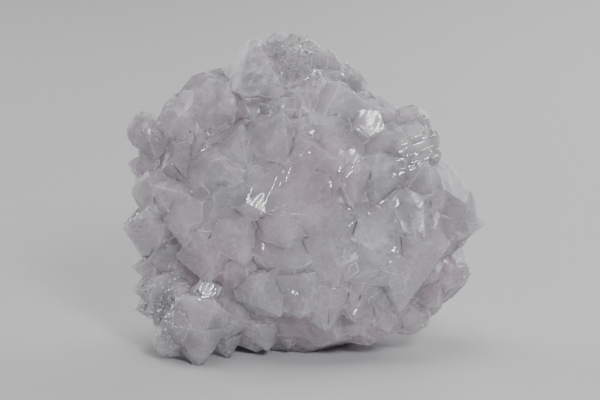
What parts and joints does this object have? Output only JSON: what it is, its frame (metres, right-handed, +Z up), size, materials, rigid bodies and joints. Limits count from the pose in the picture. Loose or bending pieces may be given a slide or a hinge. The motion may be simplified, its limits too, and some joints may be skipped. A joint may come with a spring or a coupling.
{
  "type": "manganoan calcite specimen",
  "caption": "Free-standing hand specimen of intergrown, translucent calcite crystals, cut flat underneath so that it rests upright for display.",
  "frame": {"origin": "bottom centre of the bounding box, on the plane of the flat base", "axes": "+Z up, -Y out of the display face towards the viewer, +X to the viewer's right, along the specimen's greatest width"},
  "size_m": [0.0728, 0.0418, 0.0631],
  "materials": {
    "calcite": "milky, translucent and faintly pink, with glossy crystal faces"
  },
  "bodies": {
    "root": {"calcite_cluster": "calcite"}
  },
  "joints": []
}
